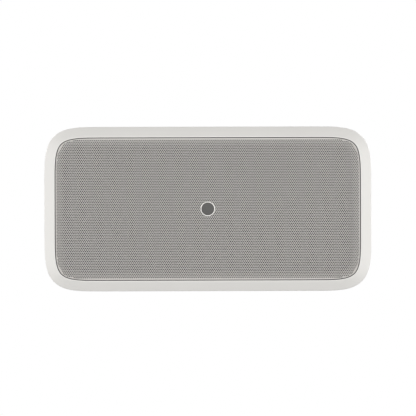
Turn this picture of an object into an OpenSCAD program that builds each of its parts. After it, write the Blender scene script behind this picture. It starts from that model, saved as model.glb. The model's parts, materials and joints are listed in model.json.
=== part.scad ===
// Compact surface-mount subwoofer: a moulded cabinet with a bevelled front frame, a perforated steel
// grille, two woofers either side of a reflex port, and a keyhole plate that hangs it on a wall.
// Every piece is drawn with X to the right, Y up and Z out of the wall, and then stood upright.

/* [Body] */
// Width of the front frame
body_w = 348; // [340:1:380]
// Height of the front frame
body_h = 175; // [170:1:200]
// Depth from the wall to the front lip
body_d = 170; // [165:1:210]
// Reach of each rounded corner along its sides
corner_reach = 62; // [56:1:66]
// Squareness of the corners: 2 is a circle
corner_power = 3.9; // [3:0.1:4.5]
// Wall thickness of the rear shell
shell_wall = 3.5; // [2.5:0.1:4.5]
// Draw-in of each side of the shell from front to back
shell_taper = 16; // [8:1:18]
// Rounding of the shell's back edges
back_round = 12; // [6:1:14]

/* [Front frame] */
// Width of the white border seen from the front
border = 11.5; // [10:0.1:13]
// Depth of the sloping bevel
bevel_d = 7; // [4:0.5:9]
// Wall thickness of the frame
frame_wall = 3; // [2.4:0.1:3.5]
// Length of shell that the frame's skirt covers
skirt_lap = 8; // [5:0.5:14]
// Clearance between the skirt and the shell
skirt_gap = 0.3; // [0.2:0.05:0.6]

/* [Grille] */
// Thickness of the grille's steel sheet
grille_t = 0.8; // [0.6:0.1:1.2]
// Gap around the grille
grille_gap = 0.8; // [0.6:0.1:1.2]
// Depth of the grille's face below the front lip
grille_recess = 1; // [0.6:0.1:1.6]
// Depth of the grille's folded rim
grille_rim = 9; // [7:0.5:11]
// Radius of the grille's rolled edge
grille_roll = 1.2; // [1:0.1:2]
// Plain margin between the grille's edge and its holes
grille_margin = 1.8; // [1.4:0.1:5]
// Pitch of the real perforation
hole_spacing = 2; // [1.8:0.1:2.4]
// Diameter of the real perforation
hole_d = 1.5; // [1.2:0.05:1.6]
// Real holes that one drawn hole spans each way
hole_group = 5; // [4:1:6]
// Thickness of the black cloth behind the sheet
cloth_t = 0.5; // [0.3:0.1:0.8]

/* [Badge] */
// Diameter of the blank badge
badge_d = 15.5; // [12:0.5:20]
// Thickness of the badge
badge_t = 1.6; // [1.2:0.1:2.2]
// Diameter of the threaded post behind the badge
post_d = 4; // [3:0.1:5]

/* [Baffle] */
// Thickness of the baffle
baffle_t = 5; // [4:0.5:8]
// Depth of the ribs behind the baffle
baffle_rib = 9; // [6:1:14]
// Thickness of the foam gasket between baffle and shell
gasket_t = 1; // [0.6:0.1:1.6]

/* [Woofers] */
// Clearance between a woofer's flange and the frame
flange_gap = 2; // [1:0.5:6]
// Thickness of the basket's flange
flange_t = 3; // [2.5:0.1:4]
// Depth from flange to the spider's ledge
spider_depth = 24; // [22:1:28]
// Depth from the spider's ledge to the magnet system
neck_depth = 10; // [8:1:14]
// Drop of the spider from its ledge to the voice coil
spider_cup = 4; // [2:0.5:6]
// Wall thickness of the basket
basket_wall = 1.6; // [1.2:0.1:2]
// Travel of the cone each way
cone_travel = 4; // [2:0.5:5]
// Diameter of the voice coil's former, inside
former_d = 32; // [30:0.5:34]
// Clearance on each side of the voice coil
coil_gap = 0.6; // [0.4:0.1:0.8]
// Diameter of the ferrite magnet
magnet_d = 90; // [80:1:94]
// Thickness of the ferrite magnet
magnet_t = 17; // [12:1:20]
// Thickness of the top plate and of the yoke's plate
plate_t = 6; // [4:0.5:8]

/* [Port] */
// Bore of the reflex port
port_bore = 34; // [28:1:34]
// Wall thickness of the port
port_wall = 2; // [1.5:0.1:2.5]
// Width of the port's flange outside its tube
port_lip = 5.5; // [4:0.5:6]
// Clearance between the port's flange and each woofer
port_gap = 1.5; // [1:0.5:4]
// Bend radius of the port's elbow
port_bend = 32; // [26:1:34]
// Straight length after the elbow
port_tail = 58; // [40:1:66]

/* [Wall plate] */
// Clearance between the wall plate and the terminal cup
plate_gap = 4; // [3:0.5:8]
// Height of the wall plate
wall_plate_h = 100; // [92:1:104]
// Depth of the wall plate
wall_plate_d = 10; // [9:0.5:14]
// Thickness of the wall plate's steel
wall_plate_t = 2; // [1.5:0.1:2.5]
// Distance of the keyholes from the wall plate's ends
hang_edge = 17; // [15:0.5:20]
// Spacing of the keyholes up and down
hang_h = 52; // [46:1:56]
// Distance of each wall screw from its keyhole, across
fix_from_hang = 26; // [24:0.5:30]
// Spacing of the wall screws up and down
fix_h = 60; // [54:1:62]
// Diameter of the holes for the wall screws
fix_d = 5.5; // [4.5:0.1:6]

/* [Terminals] */
// Width of the terminal cup's flange
cup_w = 58; // [54:1:60]
// Height of the terminal cup's flange
cup_h = 64; // [58:1:72]
// Depth of the terminal cup
cup_d = 18; // [15:1:22]
// Distance from the cup to the rounding of the shell's back
cup_edge = 5.1; // [3:0.1:10]
// Diameter of the filter's capacitors
capacitor_d = 16; // [12:1:18]
// Length of the filter's capacitors
capacitor_l = 26; // [20:1:32]
// Space between the two capacitors
capacitor_gap = 8; // [4:1:12]

/* [Hidden] */
$fn = 96;
eps = 0.01;
corner_steps = 14;
back_steps = 6;

// Levels, as heights above the wall
shell_seat = 0.3;
back_z = wall_plate_d + shell_seat;
grille_z = body_d - grille_recess;
surround_t = 0.8;
roll_r = 5;
rim_t = 2;
cone_air = 1.5;
flange_gasket_t = 1;
crest = flange_gasket_t + flange_t + roll_r + surround_t;
baffle_z = grille_z - grille_t - cloth_t - cone_air - cone_travel - crest;
shell_front_z = baffle_z - baffle_t - gasket_t;
woofer_z = baffle_z + flange_gasket_t;

// Outlines
skirt_draft = 0.6;
shell_inset = frame_wall + skirt_draft + skirt_gap;
reach_loss = (1 - sqrt(0.5)) / (1 - pow(0.5, 1 / corner_power));
shell_w = body_w - 2 * shell_inset;
shell_h = body_h - 2 * shell_inset;
shell_reach = corner_reach - reach_loss * shell_inset;
window_wall = 2;
ledge_w = grille_gap + grille_t + 0.9;
grille_inset = border + grille_gap;

// Room for the woofers, from the middle to the frame's inner wall
room_w = body_w / 2 - border - ledge_w - flange_gap;
room_h = body_h / 2 - border - ledge_w - flange_gap;
port_r = port_bore / 2 + port_wall;
port_flange = port_r + port_lip;
flange_r = min(room_h, (room_w - port_flange - port_gap) / 2);
woofer_x = room_w - flange_r;

// Clearance round the badge's post
post_gap = 0.2;

// Screws and their bosses
screw_r = 2;
boss_r = 4.5;
boss_h = 20;
lip_d = 4;
boss_x = shell_w / 2 - 19;
boss_y = shell_h / 2 - 22;
side_boss_y = shell_h / 2 - shell_wall - boss_r - 1.2;
BOSSES = concat([for (sx = [-1, 1], sy = [-1, 1]) [sx * boss_x, sy * boss_y]],
                [for (sx = [-1, 0, 1], sy = [-1, 1]) [sx * woofer_x, sy * side_boss_y]]);

// Woofer, drawn from the back face of its flange
lip_w = 4.5;
screw_ring = flange_r - 3;
lip_r = flange_r - 6;
roll_out = lip_r - lip_w;
cone_r = roll_out - 2 * roll_r;
cone_lip = 3;
cone_t = 1;
basket_r = roll_out - 0.5;
ledge_r = basket_r - 10;
ledge_in = ledge_r - 7;
cutout_r = roll_out + 2;
magnet_top = -spider_depth - neck_depth - basket_wall;
former_r = former_d / 2;
former_t = 0.4;
coil_t = 0.6;
coil_r = former_r + former_t + coil_t;
coil_h = 16;
pole_r = former_r - coil_gap;
gap_r = coil_r + coil_gap;
neck_z = -spider_depth + 5;
cap_r = 24;
cap_h = 9;

foot_in = former_r + 10;
window_w = ledge_r * 0.75;

// Port
tail_z = back_z + shell_wall + 12 + port_r;

// Hanging studs and keyholes
shoulder_r = 3;
stud_head_r = 5.8;
stud_head_t = 2.4;
insert_r = 4;
insert_h = 12;
thread_r = 2.5;
slot_gap = 0.3;
keyhole_rise = 14;
cup_x = -(shell_w / 2 - shell_taper - back_round - cup_edge - cup_w / 2);
wall_plate_w = 2 * (abs(cup_x) - cup_w / 2 - plate_gap);
hang_w = wall_plate_w - 2 * hang_edge;
fix_w = hang_w - 2 * fix_from_hang;
HANGERS = [for (sx = [-1, 1], sy = [-1, 1]) [sx * hang_w / 2, sy * hang_h / 2]];
FIXES = [for (sx = [-1, 1], sy = [-1, 1]) [sx * fix_w / 2, sy * fix_h / 2]];

// Terminals
cup_flange_t = 2.5;
cup_wall = 2.5;
cup_lip = 4;
post_h = 8;
board_w = cup_w + 8;
board_h = cup_h - 8;
board_t = 1.6;
board_z = back_z + cup_d + cup_wall + post_h;
block_w = 27;
block_h = 12;
block_d = 12;
capacitor_y = (capacitor_d + capacitor_gap) / 2;

WOOFER_PARTS = ["flange_gasket", "basket", "terminal_strip", "top_plate", "magnet", "yoke", "coil_former",
                "voice_coil", "spider", "cone", "dust_cap", "surround", "rim_ring"];
SIDES = ["left", "right"];

// Points of a rectangle whose corners are superellipses, counterclockwise; a corner ends at the middle of a side
function squircle(w, h, reach) =
  [for (q = [0:3], i = [0:corner_steps])
    let (t = 90 * i / corner_steps,
         a = min(reach, w / 2 - 1, h / 2 - 1),
         u = a * pow(cos(t), 2 / corner_power),
         v = a * pow(sin(t), 2 / corner_power),
         cx = w / 2 - a,
         cy = h / 2 - a)
    [[cx + u, cy + v], [-cx - v, cy + u], [-cx - u, -cy - v], [cx + v, -cy - u]][q]];

// The same points moved inwards, square to the outline
function inset(points, d) =
  let (n = len(points))
  [for (i = [0:n - 1])
    let (along = points[(i + 1) % n] - points[(i + n - 1) % n])
    points[i] - d * [along[1], -along[0]] / norm(along)];

front_outline = squircle(body_w, body_h, corner_reach);
shell_outline = squircle(shell_w, shell_h, shell_reach);

// Closed solid through rings of equally many points, lowest ring first
module loft(rings) {
  n = len(rings[0]);
  m = len(rings);
  sides = [for (k = [0:m - 2], i = [0:n - 1])
    let (j = (i + 1) % n)
    each [[k * n + i, (k + 1) * n + i, (k + 1) * n + j], [k * n + i, (k + 1) * n + j, k * n + j]]];
  bottom = [for (i = [0:n - 1]) i];
  top = [for (i = [n - 1:-1:0]) (m - 1) * n + i];
  polyhedron([for (r = rings) each r], concat([bottom, top], sides));
}

// Ring solid: a closed section of [inset, height] points swept round an outline
module sweep(outline, section) {
  n = len(outline);
  m = len(section);
  points = [for (s = section) each [for (p = inset(outline, s[0])) [p[0], p[1], s[1]]]];
  faces = [for (k = [0:m - 1], i = [0:n - 1])
    let (j = (i + 1) % n, l = (k + 1) % m)
    each [[k * n + i, k * n + j, l * n + j], [k * n + i, l * n + j, l * n + i]]];
  polyhedron(points, faces);
}

// Points of an arc in a section, both ends included
function arc(c, r, from, to, steps) =
  [for (i = [0:steps]) let (a = from + (to - from) * i / steps) c + r * [cos(a), sin(a)]];

// Round section turned about Z
module turned(points) rotate_extrude() polygon(points);

module tube(r_in, r_out, z, h) {
  translate([0, 0, z]) difference() {
    cylinder(r = r_out, h = h);
    translate([0, 0, -1]) cylinder(r = r_in, h = h + 2);
  }
}

// Stands a piece drawn above the wall upright, facing -Y
module upright() rotate([90, 0, 0]) children();

// Rear shell

// Draw-in of the shell's sides at a height
function draw_in(z) = shell_taper * (shell_front_z - z) / (shell_front_z - back_z);

// Outline drawn in by the taper, then made smaller by a wall all round
function shell_ring(taper, wall, z) =
  let (d = taper + wall,
       reach = shell_reach - taper / 2 - reach_loss * wall)
  [for (p = squircle(shell_w - 2 * d, shell_h - 2 * d, reach)) [p[0], p[1], z]];

// Rings of the tapered, back-rounded box, made smaller by a wall all round
function shell_rings(wall, front) =
  let (r = back_round - wall * 0.6,
       back = back_z + wall)
  concat(
    [for (i = [0:back_steps])
      let (a = 90 * i / back_steps, z = back + r * (1 - cos(a)))
      shell_ring(draw_in(z) + r * (1 - sin(a)), wall, z)],
    [shell_ring(0, wall, front)]);

module shell_bosses() {
  for (p = BOSSES) {
    translate([p[0], p[1], shell_front_z - boss_h]) cylinder(r = boss_r, h = boss_h);
    outward = abs(p[1]) > boss_y + 1 ? [0, sign(p[1])] : [sign(p[0]), 0];
    web = [boss_r + 15.5, boss_r + 5.5];
    translate([p[0] + outward[0] * web[0] / 2, p[1] + outward[1] * web[1] / 2, shell_front_z - lip_d - 0.5])
      translate([0, 0, -(boss_h - lip_d) / 2])
        cube([outward[0] == 0 ? 3 : web[0], outward[0] == 0 ? web[1] : 3, boss_h - lip_d], center = true);
  }
}

module rear_shell() {
  rib_t = 2.5;
  rib_h = 6;
  saddle_x = port_bend + port_tail * 0.6;
  color("gainsboro") difference() {
    union() {
      difference() {
        loft(shell_rings(0, shell_front_z));
        loft(shell_rings(shell_wall, shell_front_z + 1));
      }
      intersection() {
        shell_bosses();
        loft(shell_rings(shell_wall / 2, shell_front_z));
      }
      for (p = HANGERS)
        translate([p[0], p[1], back_z + eps]) cylinder(r = insert_r + 3, h = insert_h + 4);
      for (x = [-hang_w / 2, 0, hang_w / 2])
        translate([x - rib_t / 2, -hang_h / 2 - 12, back_z + shell_wall / 2])
          cube([rib_t, hang_h + 24, rib_h + shell_wall / 2]);
      for (y = [-hang_h / 2, hang_h / 2])
        translate([-hang_w / 2, y - rib_t / 2, back_z + shell_wall / 2])
          cube([hang_w, rib_t, rib_h + shell_wall / 2]);
      translate([saddle_x - 2, -port_r - 3, back_z + shell_wall / 2])
        cube([4, 2 * port_r + 6, tail_z - back_z - shell_wall / 2]);
    }
    translate([0, 0, tail_z]) rotate([0, 90, 0]) cylinder(r = port_r + 0.3, h = saddle_x + 10);
    for (p = HANGERS)
      translate([p[0], p[1], back_z - 1]) cylinder(r = insert_r, h = insert_h + 1.3);
    for (p = BOSSES)
      translate([p[0], p[1], shell_front_z - 14]) cylinder(r = screw_r - 0.4, h = 15);
    translate([cup_x - cup_w / 2 + cup_lip, -cup_h / 2 + cup_lip, back_z - 1])
      cube([cup_w - 2 * cup_lip, cup_h - 2 * cup_lip, shell_wall + 2]);
  }
}

module shell_gasket() {
  color("dimgray") translate([0, 0, shell_front_z]) linear_extrude(gasket_t) difference() {
    polygon(shell_outline);
    polygon(inset(shell_outline, shell_wall));
  }
}

// Baffle and frame

module baffle_openings() {
  for (sx = [-1, 1])
    translate([sx * woofer_x, 0, baffle_z - baffle_t - 20]) cylinder(r = cutout_r, h = baffle_t + 40);
  translate([0, 0, baffle_z - baffle_t - 20]) cylinder(r = port_r + 0.3, h = baffle_t + 40);
}

module front_baffle() {
  lip_in = shell_wall + 0.3 + draw_in(shell_front_z - lip_d);
  lip_t = 2;
  rib_t = 2.5;
  back = baffle_z - baffle_t;
  color("dimgray") difference() {
    union() {
      translate([0, 0, back]) linear_extrude(baffle_t) polygon(shell_outline);
      translate([0, 0, back - gasket_t - lip_d]) linear_extrude(gasket_t + lip_d + eps) difference() {
        polygon(inset(shell_outline, lip_in));
        polygon(inset(shell_outline, lip_in + lip_t));
      }
      translate([0, 0, back - baffle_rib]) linear_extrude(baffle_rib + eps) {
        for (x = [-woofer_x, 0, woofer_x])
          translate([x, 0]) square([rib_t, shell_h - 2 * lip_in - 2 * lip_t + 1], center = true);
        for (y = [-1, 1])
          translate([0, y * 15]) square([shell_w - 2 * lip_in - 2 * lip_t + 1, rib_t], center = true);
      }
      for (sx = [-1, 1]) tube_ring(sx * woofer_x, cutout_r, cutout_r + rib_t, back - baffle_rib);
      tube_ring(0, port_r, port_r + 0.3 + rib_t, back - baffle_rib);
    }
    baffle_openings();
    for (p = BOSSES) {
      translate([p[0], p[1], back - baffle_rib - 1]) cylinder(r = boss_r + 0.6, h = baffle_rib + 1);
      translate([p[0], p[1], back - 1]) cylinder(r = screw_r + 0.3, h = baffle_t + 2);
      translate([p[0], p[1], baffle_z - 2.5]) cylinder(r = 2 * screw_r + 0.3, h = 3);
    }
    for (sx = [-1, 1], a = [45:90:315])
      translate([sx * woofer_x + screw_ring * cos(a), screw_ring * sin(a), back - 1])
        cylinder(r = screw_r - 0.4, h = baffle_t + 2);
  }
}

// Ring standing on the back of the baffle
module tube_ring(x, r_in, r_out, z)
  translate([x, 0, z]) linear_extrude(baffle_rib + eps) difference() {
    circle(r = r_out);
    circle(r = r_in - 0.2);
  }

module front_frame() {
  edge = 0.9;
  lip = 1.3;
  z = body_d;
  skirt_z = shell_front_z - skirt_lap;
  ledge_z = grille_z - grille_rim;
  crush_r = grille_gap - 0.2;
  section = [
    [border, z - lip],
    [border - 0.4, z - 0.4],
    [border - lip, z],
    [edge + 0.3, z - bevel_d + edge],
    [edge * 0.3, z - bevel_d],
    [0, z - bevel_d - edge],
    [skirt_draft, skirt_z],
    [skirt_draft + frame_wall, skirt_z],
    [frame_wall, z - bevel_d - frame_wall],
    [border - window_wall, z - frame_wall - 1],
    [border - window_wall, baffle_z],
    [border + ledge_w, baffle_z],
    [border + ledge_w, ledge_z],
    [border, ledge_z]
  ];
  wx = body_w / 2 - border;
  wy = body_h / 2 - border;
  color("white") union() {
    sweep(front_outline, section);
    for (sx = [-1, 1], sy = [-1, 1], p = [[wx, 0.25 * wy], [0.2 * wx, wy], [0.65 * wx, wy]])
      translate([sx * p[0], sy * p[1], ledge_z - 1]) cylinder(r = crush_r, h = grille_rim - 5, $fn = 24);
  }
}

// Grille, its cloth and the badge

// Centres of the drawn perforations that fit inside the margin
function perforations() =
  let (pitch = hole_spacing * hole_group,
       row = pitch * sqrt(3) / 2,
       m = grille_inset + grille_margin + hole_d * hole_group / 2 + 1,
       w = body_w / 2 - m,
       h = body_h / 2 - m,
       a = corner_reach - reach_loss * m)
  [for (j = [-ceil(h / row):ceil(h / row)], i = [-ceil(w / pitch) - 1:ceil(w / pitch)])
    let (x = pitch * (i + (j % 2 == 0 ? 0 : 0.5)),
         y = row * j,
         u = max(0, abs(x) - w + a) / a,
         v = max(0, abs(y) - h + a) / a)
    if (pow(u, corner_power) + pow(v, corner_power) <= 1
        && norm([x, y]) > badge_d / 2 + hole_d * hole_group / 2)
      [x, y]];

module grille_panel() {
  r = grille_roll;
  rolled = concat(
    arc([grille_inset + r, grille_z - r], r, 90, 180, 4),
    [[grille_inset, grille_z - grille_rim], [grille_inset + grille_t, grille_z - grille_rim]],
    arc([grille_inset + r, grille_z - r], r - grille_t, 180, 90, 3));
  color("silver") union() {
    translate([0, 0, grille_z - grille_t]) linear_extrude(grille_t) difference() {
      polygon(inset(front_outline, grille_inset + r));
      for (p = perforations()) translate(p) circle(d = hole_d * hole_group, $fn = 24);
      circle(d = post_d + 2 * post_gap);
    }
    sweep(front_outline, rolled);
  }
}

module grille_cloth() {
  color("black") translate([0, 0, grille_z - grille_t - cloth_t]) linear_extrude(cloth_t) difference() {
    polygon(inset(front_outline, grille_inset + grille_roll + 0.5));
    circle(d = post_d + 2 * post_gap);
  }
}

module badge() {
  r = badge_d / 2;
  color("gray") translate([0, 0, grille_z]) turned([
    [0, -grille_t - cloth_t - 2.2],
    [post_d / 2, -grille_t - cloth_t - 2.2],
    [post_d / 2, 0],
    [r, 0],
    [r, badge_t * 0.6],
    [r - 0.5, badge_t],
    [r - 1, badge_t],
    [r - 1.3, badge_t * 0.55],
    [0, badge_t * 0.55]
  ]);
}

module badge_nut() {
  color("silver") tube(post_d / 2 + 0.1, post_d / 2 + 2.5, grille_z - grille_t - cloth_t - 0.6, 0.6);
}

// Woofers, each drawn on its own axis from the back face of its flange

module flange_gasket() color("dimgray") tube(cutout_r, flange_r, -flange_gasket_t, flange_gasket_t);

module basket() {
  s = -spider_depth;
  n = s - neck_depth;
  t = basket_wall;
  color("dimgray") difference() {
    turned([
      [flange_r, 0],
      [flange_r, flange_t],
      [roll_out - 0.5, flange_t],
      [basket_r - 0.5, 0],
      [ledge_r, s],
      [ledge_in, s],
      [ledge_in - 0.6, n],
      [foot_in, n],
      [foot_in, n - t],
      [ledge_in + t - 0.6, n - t],
      [ledge_in + t, s - t],
      [ledge_r + t * 0.7, s - t],
      [basket_r + t * 0.6, 0]
    ]);
    for (a = [0:90:270])
      rotate([0, 0, a]) translate([ledge_r - 6, -window_w / 2, s + 3])
        cube([20, window_w, spider_depth - 8]);
    for (a = [45:90:315])
      rotate([0, 0, a]) translate([screw_ring, 0, -1]) cylinder(r = screw_r + 0.2, h = flange_t + 2);
  }
}

// Insulating strip with two solder tags, under the basket's spider ledge
module terminal_strip() {
  strip_t = 1.5;
  strip_in = ledge_in + basket_wall + 0.6;
  color("burlywood") translate([-7, strip_in, -spider_depth - basket_wall - strip_t]) {
    cube([14, ledge_r - strip_in, strip_t]);
    for (x = [1.5, 9.7])
      translate([x, ledge_r - strip_in - 1, 0.3]) cube([2.8, 7, 0.8]);
  }
}

module top_plate() color("gray") tube(gap_r, magnet_d / 2 - 3, magnet_top - plate_t, plate_t);

module magnet() color("darkslategray") tube(gap_r + 5, magnet_d / 2, magnet_top - plate_t - magnet_t, magnet_t);

module yoke() {
  base = magnet_top - 2 * plate_t - magnet_t;
  color("gray") difference() {
    union() {
      translate([0, 0, base]) cylinder(r = magnet_d / 2 - 3, h = plate_t);
      translate([0, 0, base]) cylinder(r = pole_r, h = magnet_top - base + 1);
    }
    translate([0, 0, base - 1]) cylinder(r = 4, h = magnet_top - base + 4);
  }
}

module coil_former() {
  z = magnet_top - plate_t / 2 - coil_h / 2 - 2;
  color("goldenrod") tube(former_r, former_r + former_t, z, neck_z - z);
}

module voice_coil() {
  color("peru") tube(former_r + former_t, coil_r, magnet_top - plate_t / 2 - coil_h / 2, coil_h);
}

module spider() {
  t = 0.5;
  waves = 4;
  r0 = former_r + former_t + 2;
  r1 = ledge_in - 0.5;
  steps = 8 * waves;
  low = -spider_depth - spider_cup;
  top = [for (i = [0:steps])
    let (s = i / steps)
    [r0 + (r1 - r0) * s, low + t + spider_cup * s + 0.7 * (1 - cos(360 * waves * s))]];
  outer = ledge_r - 1;
  inner = former_r + former_t + 0.05;
  color("tan") turned(concat(
    [[inner, low], [inner, low + t]],
    top,
    [[outer, -spider_depth + t], [outer, -spider_depth]],
    [for (i = [steps:-1:0]) top[i] - [0, t]]));
}

// Height of the cone's front face at a radius, hollowed slightly like a horn
function cone_z(r) =
  let (s = (r - former_r) / (cone_r - cone_lip - former_r))
  neck_z + (flange_t - neck_z) * pow(s, 1.25);

module cone() {
  steps = 8;
  rs = [for (i = [0:steps]) former_r + former_t + 0.05 + (cone_r - cone_lip - former_r - former_t - 0.05) * i / steps];
  color("dimgray") turned(concat(
    [for (r = rs) [r, cone_z(r)]],
    [[cone_r, flange_t], [cone_r, flange_t - cone_t]],
    [for (i = [steps:-1:0]) [rs[i], cone_z(rs[i]) - cone_t]]));
}

module dust_cap() {
  base = cone_z(cap_r) + 0.05;
  dome = (cap_r * cap_r + cap_h * cap_h) / (2 * cap_h);
  t = 0.8;
  color("black") translate([0, 0, base + cap_h - dome]) turned(concat(
    arc([0, 0], dome, 90, asin((dome - cap_h) / dome), 8),
    arc([0, 0], dome - t, asin((dome - cap_h) / (dome - t)), 90, 8)));
}

module surround() {
  c = [roll_out - roll_r, flange_t + surround_t / 2];
  t = surround_t / 2;
  over = asin(t / (roll_r + t));
  under = asin(t / (roll_r - t));
  color("black") turned(concat(
    [[cone_r - cone_lip, flange_t], [cone_r - cone_lip, flange_t + surround_t]],
    arc(c, roll_r + t, 180 - over, over, 12),
    [[lip_r - 0.3, flange_t + surround_t], [lip_r - 0.3, flange_t]],
    arc(c, roll_r - t, -under, 180 + under, 12)));
}

module rim_ring() color("black") tube(roll_out + 1, lip_r - 0.3, flange_t + surround_t, rim_t);

// Reflex port

module port_tube() {
  b = port_bore / 2;
  bend_z = tail_z + port_bend;
  flare = min(port_flange - b - 1, 6);
  end_x = port_bend + port_tail;
  color("dimgray") union() {
    translate([0, 0, baffle_z]) turned(concat(
      [[port_r, 2 - flare - 3], [port_r, 0], [port_flange, 0], [port_flange, 1.2], [b + flare + 0.2, 2]],
      arc([b + flare, 2 - flare], flare, 90, 180, 6),
      [[b, 2 - flare - 3]]));
    tube(b, port_r, bend_z, baffle_z - bend_z - flare);
    translate([port_bend, 0, bend_z]) rotate([90, 0, 0]) rotate([0, 0, 180])
      rotate_extrude(angle = 90) translate([port_bend, 0]) difference() {
        circle(r = port_r);
        circle(r = b);
      }
    translate([port_bend, 0, tail_z]) rotate([0, 90, 0]) difference() {
      union() {
        cylinder(r = port_r, h = port_tail);
        translate([0, 0, port_tail - 2]) cylinder(r = port_r + 2.5, h = 2);
      }
      translate([0, 0, -1]) cylinder(r = b, h = port_tail + 2);
      translate([0, 0, port_tail - 3]) cylinder(r1 = b, r2 = b + 3 + eps, h = 3 + eps);
    }
  }
}

// Wall plate and hangers

module keyhole() {
  w = shoulder_r + slot_gap;
  circle(r = w);
  translate([-w, 0]) square([2 * w, keyhole_rise]);
  translate([0, keyhole_rise]) circle(r = stud_head_r + 0.8);
}

module plate_outline() {
  c = 8;
  for (sx = [-1, 1], sy = [-1, 1])
    translate([sx * (wall_plate_w / 2 - c), sy * (wall_plate_h / 2 - c)]) circle(r = c);
  square([wall_plate_w - 2 * c, wall_plate_h], center = true);
  square([wall_plate_w, wall_plate_h - 2 * c], center = true);
}

module wall_plate() {
  t = wall_plate_t;
  d = wall_plate_d;
  top_r = 11;
  foot_r = 8;
  color("silver") difference() {
    union() {
      difference() {
        linear_extrude(d) plate_outline();
        translate([0, 0, -1]) linear_extrude(d - t + 1) scale_in(t) plate_outline();
      }
      for (p = FIXES) translate([p[0], p[1], 0]) cylinder(r1 = foot_r, r2 = top_r, h = d - eps);
    }
    for (p = FIXES) translate([p[0], p[1], 0]) {
      translate([0, 0, t]) cylinder(r1 = foot_r - t, r2 = top_r - t, h = d - t + eps);
      translate([0, 0, -1]) cylinder(d = fix_d, h = t + 2);
    }
    for (p = HANGERS) translate([p[0], p[1], -1]) linear_extrude(d + 2) keyhole();
  }
}

// Inner outline of the folded plate: the same corners, a wall smaller all round
module scale_in(t) {
  c = 8;
  for (sx = [-1, 1], sy = [-1, 1])
    translate([sx * (wall_plate_w / 2 - c), sy * (wall_plate_h / 2 - c)]) circle(r = c - t);
  square([wall_plate_w - 2 * c, wall_plate_h - 2 * t], center = true);
  square([wall_plate_w - 2 * t, wall_plate_h - 2 * c], center = true);
}

module hang_stud(p) {
  head_z = wall_plate_d - wall_plate_t - 0.3 - stud_head_t;
  color("silver") translate([p[0], p[1], 0]) {
    translate([0, 0, head_z]) cylinder(r = stud_head_r, h = stud_head_t);
    translate([0, 0, head_z]) cylinder(r = shoulder_r, h = back_z - head_z);
    translate([0, 0, head_z]) cylinder(r = thread_r - 0.1, h = back_z - head_z + insert_h - 2);
  }
}

module stud_insert(p) {
  color("gold") translate([p[0], p[1], 0]) tube(thread_r, insert_r - 0.05, back_z, insert_h);
}

// Terminals and filter

module terminal_cup() {
  w = cup_w - 2 * cup_lip - 0.6;
  h = cup_h - 2 * cup_lip - 0.6;
  color("dimgray") translate([cup_x, 0, back_z]) difference() {
    union() {
      translate([-cup_w / 2, -cup_h / 2, -cup_flange_t]) cube([cup_w, cup_h, cup_flange_t]);
      translate([-w / 2, -h / 2, -cup_flange_t]) cube([w, h, cup_flange_t + cup_d + cup_wall]);
      for (sx = [-1, 1], sy = [-1, 1])
        translate([sx * (w / 2 - 5), sy * (h / 2 - 5), cup_d]) cylinder(r = 3, h = cup_wall + post_h, $fn = 32);
    }
    translate([-w / 2 + cup_wall, -h / 2 + cup_wall, -cup_flange_t - 1])
      cube([w - 2 * cup_wall, h - 2 * cup_wall, cup_flange_t + 1 + cup_d]);
    for (sx = [-1, 1], sy = [-1, 1])
      translate([sx * (cup_w / 2 - 3), sy * (cup_h / 2 - 3), -cup_flange_t - 1])
        cylinder(r = 1.6, h = cup_flange_t + 2, $fn = 32);
  }
}

module terminal_block() {
  color("darkgreen") translate([cup_x, 0, back_z + cup_d - block_d]) difference() {
    translate([-block_w / 2, -block_h / 2, 0]) cube([block_w, block_h, block_d]);
    translate([-block_w / 2 + 2, -block_h / 2 + 1.8, -1]) cube([block_w - 4, block_h - 3.6, block_d - 1]);
  }
}

module filter_board() {
  color("forestgreen") translate([cup_x - board_w / 2, -board_h / 2, board_z])
    cube([board_w, board_h, board_t]);
}

module inductor() {
  bobbin_r = 17;
  h = 20;
  color("peru") translate([cup_x + board_w / 2 - bobbin_r - 2, 0, board_z + board_t]) turned([
    [6, 0],
    [bobbin_r, 0],
    [bobbin_r, 2],
    [bobbin_r - 2, 2],
    [bobbin_r - 2, h - 2],
    [bobbin_r, h - 2],
    [bobbin_r, h],
    [6, h]
  ]);
}

module capacitor(y) {
  color("midnightblue") translate([cup_x - board_w / 2 + 2 + capacitor_d / 2, y, board_z + board_t])
    cylinder(d = capacitor_d, h = capacitor_l);
}

module woofer(side) translate([side * woofer_x, 0, woofer_z]) children();

upright() rear_shell();
upright() shell_gasket();
upright() front_baffle();
upright() front_frame();
upright() grille_panel();
upright() grille_cloth();
upright() badge();
upright() badge_nut();
upright() port_tube();
upright() wall_plate();
upright() terminal_cup();
upright() terminal_block();
upright() filter_board();
upright() inductor();
upright() capacitor(capacitor_y);  // capacitor_upper
upright() capacitor(-capacitor_y);  // capacitor_lower
for (i = [1:4]) {
  upright() hang_stud(HANGERS[i - 1]);
  upright() stud_insert(HANGERS[i - 1]);
}
for (side = [-1, 1]) {
  name = side < 0 ? "left_" : "right_";
  upright() woofer(side) flange_gasket();
  upright() woofer(side) basket();
  upright() woofer(side) terminal_strip();
  upright() woofer(side) top_plate();
  upright() woofer(side) magnet();
  upright() woofer(side) yoke();
  upright() woofer(side) coil_former();
  upright() woofer(side) voice_coil();
  upright() woofer(side) spider();
  upright() woofer(side) cone();
  upright() woofer(side) dust_cap();
  upright() woofer(side) surround();
  upright() woofer(side) rim_ring();
}
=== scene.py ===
# %% [markdown]
# # A surface-mount subwoofer, dressed on its CAD frame
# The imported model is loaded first, because it fixes every place and size. Each cell after it dresses one
# piece or mixes one finish. All lengths here are in metres, and MM turns a maker's millimetres into them.

# %% Load the frame
import json
import math

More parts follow.
